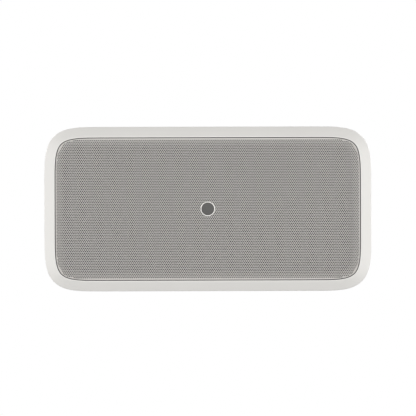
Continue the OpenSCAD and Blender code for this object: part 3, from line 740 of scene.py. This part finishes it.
    # Thickness, the faint crown, and the rolled edge: a quarter of a circle before the outline
    back = graph.node("GeometryNodeExtrudeMesh", {"mode": "FACES"}, {
        "Mesh": front, "Offset": (0, 0, -1), "Offset Scale": given["Thickness"],
        "Individual": False})["Mesh"]
    flipped = graph.node("GeometryNodeFlipFaces", {}, {"Mesh": back})["Mesh"]
    sheet = graph.node("GeometryNodeMergeByDistance", {},
                       {"Geometry": joined(flipped, front), "Distance": 1e-6})["Geometry"]
    roll = given["Edge Roll"]
    short = (roll - clear).math("MAXIMUM", 0.0)
    level = roll * roll - short * short
    drop = level.math("MAXIMUM", 0.0).math("SQRT") - roll
    near_edge = (1 - clear / given["Crown Width"]).math("MAXIMUM", 0.0)
    drop = drop - near_edge * near_edge * given["Crown Depth"]
    down = graph.node("ShaderNodeCombineXYZ", {}, {"Z": drop})["Vector"]
    sheet = graph.node("GeometryNodeSetPosition", {}, {"Geometry": sheet, "Offset": down})["Geometry"]
    sheet = graph.node("GeometryNodeRealizeInstances", {}, {"Geometry": sheet})["Geometry"]
    sheet = graph.node("GeometryNodeSetMaterial", {},
                       {"Geometry": sheet, "Material": given["Finish"]})["Geometry"]
    out = graph.node("NodeGroupOutput")
    graph.feed(out.node.inputs[0], sheet)
    return tree


def generated(base, tree, values, name):
    """The mesh that a Geometry Nodes tree makes from a base object, as a new object without the modifier."""
    modifier = base.modifiers.new("nodes", "NODES")
    modifier.node_group = tree
    for item in tree.interface.items_tree:
        if item.in_out == "INPUT" and item.name in values:
            modifier[item.identifier] = values[item.name]
    depsgraph = bpy.context.evaluated_depsgraph_get()
    depsgraph.update()
    mesh = bpy.data.meshes.new_from_object(base.evaluated_get(depsgraph), depsgraph=depsgraph)
    base.modifiers.remove(modifier)
    bpy.data.objects.remove(base)
    mesh.name = name
    return bpy.data.objects.new(name, mesh)


# %% [markdown]
# The sheet is drawn flat and then stood up to face the room. Four bands of rows and the border strip come
# from the same tree, told apart by their rows and by one switch.

# %% Punch the sheet
PERFORATION = perforation_tree()
SHEET_SIZES = {
    "Spacing": HOLE_SPACING * MM, "Hole Diameter": HOLE_D * MM, "Margin": HOLE_MARGIN * MM,
    "Thickness": GRILLE_T * MM, "Edge Roll": EDGE_ROLL * MM,
    "Crown Width": CROWN_W * MM, "Crown Depth": CROWN_D * MM, "Badge Radius": BADGE_R * MM,
    "Post Radius": POST_R * MM, "Width": BODY_W * MM, "Height": BODY_H * MM, "Hole Sides": HOLE_SIDES,
    "Border Only": False, "Finish": FINISHES["grille_steel"]}
BANDS = 4
TOP_ROW = math.ceil(BODY_H / ROW_SPACING / 2)


def stand_up(mesh, height):
    """Move a mesh drawn flat in metres to its height above the wall, facing -Y."""
    points = np.empty(len(mesh.vertices) * 3)
    mesh.vertices.foreach_get("co", points)
    points = points.reshape(-1, 3)
    points[:, 2] += height * MM
    mesh.vertices.foreach_set("co", np.column_stack([points[:, 0], -points[:, 2], points[:, 1]]).ravel())
    mesh.update()


def grille_part(name, **changes):
    sizes = dict(SHEET_SIZES)
    sizes.update({key.replace("_", " "): value for key, value in changes.items()})
    part = generated(outline_object("outline"), PERFORATION, sizes, name)
    stand_up(part.data, GRILLE_Z)
    dressed(part, "grille_steel", replaces=["grille_panel"], smooth=0)
    part.data.calc_loop_triangles()
    print(name, len(part.data.loop_triangles), "triangles")


for band in range(BANDS):
    edges = [math.floor(-TOP_ROW + (2 * TOP_ROW + 1) * i / BANDS) for i in (band, band + 1)]
    grille_part(f"grille_band_{band + 1}", First_Row=float(edges[0]), Last_Row=float(edges[1] - 1))
grille_part("grille_border", Border_Only=True)

# %% [markdown]
# Below the roll the sheet is folded straight back into a rim, which rests on the frame's ledge. The rim has
# no holes, so a plain sweep makes it.

# %% Grille rim
RIM_TOP = GRILLE_Z - EDGE_ROLL - CROWN_D
RIM_SECTION = [(GRILLE_INSET, RIM_TOP), (GRILLE_INSET, GRILLE_BACK + 0.2), (GRILLE_INSET + 0.2, GRILLE_BACK),
               (GRILLE_INSET + GRILLE_T, GRILLE_BACK), (GRILLE_INSET + GRILLE_T, RIM_TOP - 0.2)]
piece("grille_rim", swept(FRONT_OUTLINE, RIM_SECTION), "grille_steel", replaces=["grille_panel"])

# %% [markdown]
# ## The acoustic cloth
# Black cloth is stretched over the back of the sheet, where it hides the woofers and keeps dust out. Near
# the edge it follows the faint crown. Rings from the outline to the post's hole give it a clean mesh, and
# its flat size is read off the outline. In the photograph the grille reads paler towards its edge, and
# nothing shows why. The finish takes that, as a guess, for glue that soaks into the cloth, thickest at the
# edge. Each ring of the mesh carries its share of glue as an attribute, which the finish reads.

# %% Cloth
CLOTH_BACK = place("grille_cloth")[0][2]
CLOTH_TOP = CLOTH_BACK + 0.45
CLOTH_INSET = EDGE_ROLL + 0.5
GLUED_RINGS = {0: 1, 2: 0.7, 4: 0.45, 6: 0.2}
GLUE_W = 8
BARE_RINGS = (1, 0.7, 0.4, 0.15, 0)
cloth_outline = inset(FRONT_OUTLINE, GRILLE_INSET + CLOTH_INSET)
bearing = np.arctan2(cloth_outline[:, 1], cloth_outline[:, 0])
post_hole = POST_R * np.column_stack([np.cos(bearing), np.sin(bearing)])
glue_edge = inset(cloth_outline, GLUE_W)
cloth_loops = ([inset(cloth_outline, d) for d in GLUED_RINGS]
               + [glue_edge * share + post_hole * (1 - share) for share in BARE_RINGS])
cloth_dips = [CROWN_D * (1 - (d + CLOTH_INSET) / CROWN_W) ** 2 for d in GLUED_RINGS] + [0] * len(BARE_RINGS)
glue_shares = list(GLUED_RINGS.values()) + [0] * len(BARE_RINGS)
cloth_rings = [np.column_stack([loop, np.full(len(loop), z - dip)])
               for z, way in ((CLOTH_TOP, 1), (CLOTH_BACK, -1))
               for loop, dip in list(zip(cloth_loops, cloth_dips))[::way]]
cloth = piece("acoustic_cloth", ringed(cloth_rings), "cloth", replaces=["grille_cloth"], smooth=0)
glue = cloth.data.attributes.new(GLUE, "FLOAT", "POINT")
glue.data.foreach_set("value", np.repeat(glue_shares + glue_shares[::-1], len(cloth_outline)))
across = np.roll(cloth_outline, -1, axis=0)
cloth_area = (cloth_outline[:, 0] * across[:, 1] - cloth_outline[:, 1] * across[:, 0]).sum() / 2
cloth_area -= math.pi * POST_R ** 2

# %% [markdown]
# ## The badge
# A small turned badge sits in the middle of the grille: a bright rolled rim round a dark face. The face is
# left blank. Its turning marks are rings of bump and of painted shade in their grooves, worked out from the
# distance to its middle.

# %% Badge
def turned_face(name, colour, pitch=0.22 * MM):
    paint = Paint(name, 0.5, metallic=0.2)
    radius = paint.axis("X") * paint.axis("X") + paint.axis("Z") * paint.axis("Z")
    marks = (radius.math("SQRT") * (2 * math.pi / pitch)).math("SINE") * 0.5 + 0.5
    # Painted shade: the colour is darker in the grooves of the turning marks and lighter on their ridges.
    paint.set(Base_Color=paint.mixed(marks, shade(colour, 0.8), shade(colour, 1.25)))
    paint.bump(marks, 0.02 * MM, 0.6)
    return paint.material


BADGE_RIM_R = BADGE_R - 0.95
BADGE_T = 1.6
BADGE_AT = (0.0, 0.0, GRILLE_Z)
RIM_OUTER_R, RIM_INNER_R = 0.4, 0.3
FACE_R = BADGE_RIM_R + 0.1
badge_rim = (arc((BADGE_R - RIM_OUTER_R, BADGE_T - RIM_OUTER_R), RIM_OUTER_R, 90, 0, 6)
             + [(BADGE_R, 0.0), (BADGE_RIM_R, 0.0)]
             + arc((BADGE_RIM_R + RIM_INNER_R, BADGE_T - RIM_INNER_R), RIM_INNER_R, 180, 90, 5))
badge_face = [(0, 1.15), (2.5, 1.12), (5.0, 1.02), (FACE_R, 0.9), (FACE_R, 0.1), (2.0, 0.1),
              (2.0, -3.3), (1.8, -3.5), (0, -3.5)]
piece("badge_rim", turned(badge_rim, BADGE_AT), "badge_metal", replaces=["badge"])
piece("badge_face", turned(badge_face, BADGE_AT), "badge_metal", replaces=["badge"], smooth=50,
      finish=turned_face("dark_badge_face", (0.05, 0.048, 0.045)))
print("badge", 2 * BADGE_R, "mm across")

# %% [markdown]
# ## Moulded, pressed and turned parts
# The shell, the plate, the woofers' metalwork and the rest already have their real shape in the frame. A
# copy of each is merged from loose triangles and its curves are shaded smooth. On the plate, the cup and the
# terminal block the flats are rejoined first, and sharp outer edges are broken as a press or a mould would
# leave them.

# %% Finished copies
BROKEN_EDGES = {"wall_plate": 0.4, "terminal_cup": 0.5, "terminal_block": 0.3}
SAME_POINT = 2e-6
FLAT, SHARP, SMOOTH = 1, 50, 32


def finished_copy(node):
    source = frame["nodes"][node]
    soup = bmesh.new()
    soup.from_mesh(source.data)
    bmesh.ops.remove_doubles(soup, verts=soup.verts, dist=SAME_POINT)
    width = BROKEN_EDGES.get(node)
    if width:
        bmesh.ops.dissolve_limit(soup, angle_limit=math.radians(FLAT), verts=soup.verts, edges=soup.edges)
        edges = [e for e in soup.edges if e.is_manifold and e.calc_face_angle() > math.radians(SHARP)]
        bmesh.ops.bevel(soup, geom=edges, offset=width * MM, segments=2, profile=0.5, affect="EDGES",
                        clamp_overlap=True)
    mesh = bpy.data.meshes.new(node + "_finished")
    soup.to_mesh(mesh)
    soup.free()
    copy = bpy.data.objects.new(mesh.name, mesh)
    bpy.context.collection.objects.link(copy)
    mesh.polygons.foreach_set("use_smooth", [True] * len(mesh.polygons))
    mesh.set_sharp_from_angle(angle=math.radians(SMOOTH))
    weighted = copy.modifiers.new("weighted", "WEIGHTED_NORMAL")
    weighted.keep_sharp = True
    depsgraph = bpy.context.evaluated_depsgraph_get()
    copy.data = bpy.data.meshes.new_from_object(copy.evaluated_get(depsgraph), depsgraph=depsgraph)
    copy.modifiers.clear()
    return dressed(copy, SLOTS[node], body=source["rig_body"], replaces=[node], smooth=0)


WOUND = ["inductor", "voice_coil"]
SOFT = ["spider", "surround", "grille_cloth", "shell_gasket", "flange_gasket"]
REMADE = WOUND + SOFT + ["front_frame", "grille_panel", "badge"]
COPIED = [n for n in frame["nodes"] if not any(n.endswith(kind) for kind in REMADE)]
for node in COPIED:
    finished_copy(node)
print("finished copies:", len(COPIED))

# %% [markdown]
# ## Windings
# Wire wound on a spool is a stack of round turns. Real helices would cost many faces and look the same from
# outside, so a winding is a turned piece with a scalloped outside. Its finish draws the finer turns as a
# bump, with painted shade in the grooves between them.

# %% Windings
def scalloped(r_in, r_out, low, high, pitch, notch=0.35):
    """Section of a winding whose outer face shows each turn of wire."""
    turns = max(2, round((high - low) / pitch))
    step = (high - low) / turns
    outside = [(r_out - step / 2 + step / 2 * math.sin(a), low + step * (k + 0.5) - step / 2 * math.cos(a))
               for k in range(turns) for a in np.linspace(notch, math.pi - notch, 5)]
    return [(r_in, low)] + outside + [(r_in, high)]


spool_at, spool_h = place("inductor")
SPOOL_R, CORE_R, BORE_R, CHEEK = 17, 8, 6, 2
CHEEK_BEVEL = 0.4
WIRE_R, WIRE_PITCH, WIRE_CLEAR = 15.4, 0.9, 0.1
lower_half = [(BORE_R, 0), (SPOOL_R, 0), (SPOOL_R, CHEEK - CHEEK_BEVEL), (SPOOL_R - CHEEK_BEVEL, CHEEK),
              (CORE_R, CHEEK)]
spool = lower_half + [(r, spool_h - z) for r, z in reversed(lower_half)]
wire = scalloped(CORE_R + WIRE_CLEAR, WIRE_R, CHEEK + WIRE_CLEAR, spool_h - CHEEK - WIRE_CLEAR, WIRE_PITCH)
piece("inductor_spool", turned(spool, spool_at), "trim_plastic", replaces=["inductor"])
piece("inductor_winding", turned(wire, spool_at), "copper", replaces=["inductor"], smooth=60)
COIL_IN, COIL_OUT, COIL_PITCH = 16.42, 17.0, 0.45
for side in SIDES:
    coil_at, coil_h = place(side + "_voice_coil")
    coil = scalloped(COIL_IN, COIL_OUT, 0, coil_h, COIL_PITCH)
    piece(side + "_coil_winding", turned(coil, coil_at), "copper", body=side + "_diaphragm",
          replaces=[side + "_voice_coil"], smooth=60)
print("windings: 3")

# %% [markdown]
# ## Suspension
# A rubber surround and a cloth spider let the cone move 4 mm each way. Both are soft. The surround is a half
# roll: its inner half runs from the cone up to the crest, and its outer half stays with the basket. The
# spider rises from the coil to its ledge in a row of waves. The surround's inner half and the spider are
# left without a body.

# %% Suspension
FLANGE_T, RUBBER_T, HALF_ROLL = 3, 0.8, 5
BASKET_Z = -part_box("left_basket")[0][1] / MM - FLANGE_T
CONE_R, CONE_LIP, EDGE_R = 45.5, 3, 59.7
ROLL_AT = CONE_R + HALF_ROLL


def surround_halves():
    z = FLANGE_T + RUBBER_T / 2
    outer_r, inner_r = HALF_ROLL + RUBBER_T / 2, HALF_ROLL - RUBBER_T / 2
    inner = ([(CONE_R - CONE_LIP, FLANGE_T), (CONE_R - CONE_LIP, FLANGE_T + RUBBER_T)]
             + arc((ROLL_AT, z), outer_r, 175, 90, 14) + arc((ROLL_AT, z), inner_r, 90, 185, 14))
    outer = (arc((ROLL_AT, z), outer_r, 90, 5, 14)
             + [(EDGE_R - 0.3, FLANGE_T + RUBBER_T), (EDGE_R, FLANGE_T + RUBBER_T - 0.3), (EDGE_R, FLANGE_T)]
             + arc((ROLL_AT, z), inner_r, -5, 90, 14))
    return inner, outer


def spider_section():
    waves, steps, rise, cloth_t, wave_h = 5, 60, 4, 0.5, 1.3
    low, r_in, r_waves, r_out = -28, 16.5, 37.5, 44
    shares = np.linspace(0, 1, steps + 1)
    radii = r_in + 2 + (r_waves - r_in - 2) * shares
    heights = low + cloth_t + rise * shares + wave_h / 2 * (1 - np.cos(2 * math.pi * waves * shares))
    top = list(zip(radii, heights))
    return ([(r_in, low), (r_in, low + cloth_t)] + top + [(r_out, low + rise + cloth_t), (r_out, low + rise)]
            + [(r, z - cloth_t) for r, z in reversed(top)])


for side in SIDES:
    x = place(side + "_basket")[0][0]
    axis = (x, 0, BASKET_Z)
    inner, outer = surround_halves()
    soft = piece(side + "_surround_inner", turned(inner, axis, 128), "surround_rubber", body=None,
                 replaces=[side + "_surround"], smooth=60)
    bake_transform(soft)
    piece(side + "_surround_outer", turned(outer, axis, 128), "surround_rubber",
          replaces=[side + "_surround"], smooth=60)
    soft = piece(side + "_spider_cloth", turned(spider_section(), axis, 128), "spider_cloth", body=None,
                 replaces=[side + "_spider"], smooth=60)
    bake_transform(soft)
print("suspension: surrounds and spiders")

# %% [markdown]
# ## Gaskets
# Foam strips seal the baffle to the shell and each basket to the baffle. A sweep and two turned rings are
# enough, because the foam's cells are left to its finish. Their edges bulge a little where the screws press
# them.

# %% Gaskets
def bulged(low, high, height, bulge=0.25):
    """Section of a squeezed strip between two insets or radii."""
    middle = height / 2
    return [(low, 0), (low - bulge, middle), (low, height),
            (high, height), (high + bulge, middle), (high, 0)]


STRIP_W = 3.1
RING_IN, RING_OUT = 57.8, 65.7
gasket_at, gasket_h = place("shell_gasket")
gasket_w = (BODY_W - (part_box("shell_gasket")[1][0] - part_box("shell_gasket")[0][0]) / MM) / 2
strip = bulged(gasket_w + 0.3, gasket_w + 0.3 + STRIP_W, gasket_h)
strip = [(d, gasket_at[2] + z) for d, z in strip]
piece("baffle_seal", swept(FRONT_OUTLINE, strip), "foam", replaces=["shell_gasket"], smooth=0)
for side in SIDES:
    ring_at, ring_h = place(side + "_flange_gasket")
    piece(side + "_flange_seal", turned(bulged(RING_IN, RING_OUT, ring_h), ring_at), "foam",
          replaces=[side + "_flange_gasket"], smooth=0)
print("gaskets: 3")

# %% [markdown]
# ## Screws
# Twenty-two pan-head screws hold the baskets, the baffle and the cup. One head is drawn once, with its
# cross recess, and Geometry Nodes drive a copy into each point, each turned a little further than the last.

# %% Screw
SCREW_SIDES = 24


def screw_object(head_r=3.5, head_h=2.2, recess_r=1.7, arm=0.45, shank_r=1.5, shank=7):
    """One screw with its seat at zero and its head on +Z."""
    turn = np.arange(SCREW_SIDES) * 2 * math.pi / SCREW_SIDES
    off_arm = np.abs((turn + math.pi / 4) % (math.pi / 2) - math.pi / 4)
    cross = np.minimum(recess_r / np.cos(off_arm), arm / np.sin(off_arm.clip(1e-3)))
    round_ = np.ones(SCREW_SIDES)
    rings = [(round_ * shank_r * 0.5, -shank + 0.2), (round_ * shank_r, -shank + 1.4), (round_ * shank_r, 0),
             (round_ * head_r, 0), (round_ * head_r, head_h * 0.35), (round_ * head_r * 0.86, head_h * 0.8),
             (round_ * head_r * 0.62, head_h), (cross, head_h), (cross * 0.8, head_h * 0.35)]
    points = np.concatenate([np.column_stack([r * np.cos(turn), r * np.sin(turn), np.full(SCREW_SIDES, z)])
                             for r, z in rings] + [[[0, 0, -shank], [0, 0, head_h * 0.3]]]) * MM
    n, last = SCREW_SIDES, (len(rings) - 1) * SCREW_SIDES
    faces = [(k * n + i, k * n + (i + 1) % n, (k + 1) * n + (i + 1) % n, (k + 1) * n + i)
             for k in range(len(rings) - 1) for i in range(n)]
    faces += [((i + 1) % n, i, len(points) - 2) for i in range(n)]
    faces += [(last + i, last + (i + 1) % n, len(points) - 1) for i in range(n)]
    mesh = bpy.data.meshes.new("screw")
    mesh.from_pydata([tuple(p) for p in points], [], outward(points, faces))
    return bpy.data.objects.new("screw", mesh)


# %% [markdown]
# Each screw sits on a point and turns its head to the side that it is driven from. The turn about its own
# axis grows from point to point, because nobody lines up the crosses of screws.

# %% Screw tree
def screw_tree():
    tree = bpy.data.node_groups.new("driven_screws", "GeometryNodeTree")
    for name, kind in (("Places", "Geometry"), ("Screw", "Object"), ("Facing", "Vector"), ("Turn", "Float"),
                       ("Finish", "Material")):
        tree.interface.new_socket(name, in_out="INPUT", socket_type="NodeSocket" + kind)
    tree.interface.new_socket("Screws", in_out="OUTPUT", socket_type="NodeSocketGeometry")
    graph = Graph(tree)
    given = graph.node("NodeGroupInput")
    one = graph.node("GeometryNodeObjectInfo", {}, {"Object": given["Screw"]})["Geometry"]
    index = graph.node("GeometryNodeInputIndex")["Index"]
    facing = graph.node("FunctionNodeAlignRotationToVector", {"axis": "Z"}, {"Vector": given["Facing"]})[0]
    twist = graph.node("FunctionNodeAxisAngleToRotation", {},
                       {"Axis": (0, 0, 1), "Angle": index * given["Turn"]})[0]
    pose = graph.node("FunctionNodeRotateRotation", {"rotation_space": "LOCAL"},
                      {"Rotation": facing, "Rotate By": twist})[0]
    screws = graph.node("GeometryNodeInstanceOnPoints", {},
                        {"Points": given["Places"], "Instance": one, "Rotation": pose})["Instances"]
    screws = graph.node("GeometryNodeRealizeInstances", {}, {"Geometry": screws})["Geometry"]
    screws = graph.node("GeometryNodeSetMaterial", {},
                        {"Geometry": screws, "Material": given["Finish"]})["Geometry"]
    out = graph.node("NodeGroupOutput")
    graph.feed(out.node.inputs[0], screws)
    return tree


# %% [markdown]
# The points are those of the bosses: four round each basket, ten round the baffle and four round the cup.

# %% Drive the screws
SCREW = screw_object()
SCREW_TREE = screw_tree()
woofer_x = place("right_basket")[0][0]
shell_half = np.array([shell_high[0] - shell_low[0], shell_high[2] - shell_low[2]]) / MM / 2
SCREW_RING = 63
CORNER_X, CORNER_Y, SIDE_Y, SUNK = 19, 22, 9.2, 2.5
CUP_X, CUP_Y = 26, 29
TURN = 2.4
flange_points = [(side * woofer_x + SCREW_RING * math.cos(a), SCREW_RING * math.sin(a), BASKET_Z + FLANGE_T)
                 for side in (-1, 1) for a in np.radians([45, 135, 225, 315])]
baffle_points = ([(sx * (shell_half[0] - CORNER_X), sy * (shell_half[1] - CORNER_Y), BAFFLE_Z - SUNK)
                  for sx in (-1, 1) for sy in (-1, 1)]
                 + [(sx * woofer_x, sy * (shell_half[1] - SIDE_Y), BAFFLE_Z - SUNK)
                    for sx in (-1, 0, 1) for sy in (-1, 1)])
cup_at = place("terminal_cup")[0]
cup_points = [(cup_at[0] + sx * CUP_X, sy * CUP_Y, cup_at[2]) for sx in (-1, 1) for sy in (-1, 1)]


def drive(name, places, facing, slot):
    mesh = bpy.data.meshes.new("places")
    mesh.from_pydata([tuple(p) for p in upright(places)], [], [])
    base = bpy.data.objects.new("places", mesh)
    bpy.context.collection.objects.link(base)
    values = {"Screw": SCREW, "Facing": facing, "Turn": TURN, "Finish": FINISHES[slot]}
    dressed(generated(base, SCREW_TREE, values, name), slot)
    print(name, len(places))


drive("flange_screws", flange_points, (0.0, -1.0, 0.0), "basket_steel")
drive("baffle_screws", baffle_points, (0.0, -1.0, 0.0), "plated_steel")
drive("cup_screws", cup_points, (0.0, 1.0, 0.0), "plated_steel")
bpy.data.objects.remove(SCREW)

# %% [markdown]
# ## The socket's pins
# The terminal block takes a pluggable screw terminal, so four square pins stand in its cavity, five
# millimetres apart, with chamfered tips. Each pin is three square rings, and the four become one piece.

# %% Pins
socket_at, socket_d = place("terminal_block")
PIN_PITCH = 5
PIN_R, TIP_R, TIP_L = 0.5, 0.2, 0.8
PIN_MARGIN = 2
pin_root, pin_tip = socket_at[2] + socket_d - PIN_MARGIN, socket_at[2] + PIN_MARGIN


def pin(x):
    corners = np.array([(-1, -1), (1, -1), (1, 1), (-1, 1)])
    rings = [np.column_stack([corners * r + (x, socket_at[1]), np.full(4, z)])
             for r, z in ((PIN_R, pin_root), (PIN_R, pin_tip + TIP_L), (TIP_R, pin_tip))]
    points, faces = ringed(rings, closed=False)
    return points, faces + [(3, 2, 1, 0), (8, 9, 10, 11)]


def gathered(shapes):
    """Several closed shapes as one."""
    points, faces = [], []
    for shape_points, shape_faces in shapes:
        start = sum(len(p) for p in points)
        points.append(shape_points)
        faces += [tuple(start + v for v in f) for f in outward(shape_points, shape_faces)]
    return np.concatenate(points), faces


pins = gathered([pin(socket_at[0] + PIN_PITCH * k) for k in (-1.5, -0.5, 0.5, 1.5)])
piece("socket_pins", pins, "plated_steel", smooth=0)
print("pins: 4")

# %% [markdown]
# ## The floor
# The object hangs on a wall, so the floor lies well below it and only keeps its shadow. The camera sees it
# pale, and it throws back little light, so that the underside of the border isn't lit from below.

# %% Floor
FLOOR_Z = -0.75
FLOOR_X, FLOOR_Y = 2, 1.2
floor_mesh = bpy.data.meshes.new("floor")
corners = [(sx * FLOOR_X, sy * FLOOR_Y, FLOOR_Z) for sx, sy in ((-1, -1), (1, -1), (1, 1), (-1, 1))]
floor_mesh.from_pydata(corners, [], [(0, 1, 2, 3)])
floor = bpy.data.objects.new("floor", floor_mesh)
bpy.context.collection.objects.link(floor)
floor_paint = Paint("pale_floor", 0.9)
seen_floor = floor_paint.node("ShaderNodeLightPath")["Is Camera Ray"]
floor_paint.set(Base_Color=floor_paint.mixed(seen_floor, (0.4, 0.4, 0.4), (0.9, 0.9, 0.9)),
                Emission_Color=floor_paint.mixed(seen_floor, (0.0, 0.0, 0.0), (0.3, 0.3, 0.3)),
                Emission_Strength=1.0)
floor_mesh.materials.append(floor_paint.material)
print("floor at", FLOOR_Z, "m")
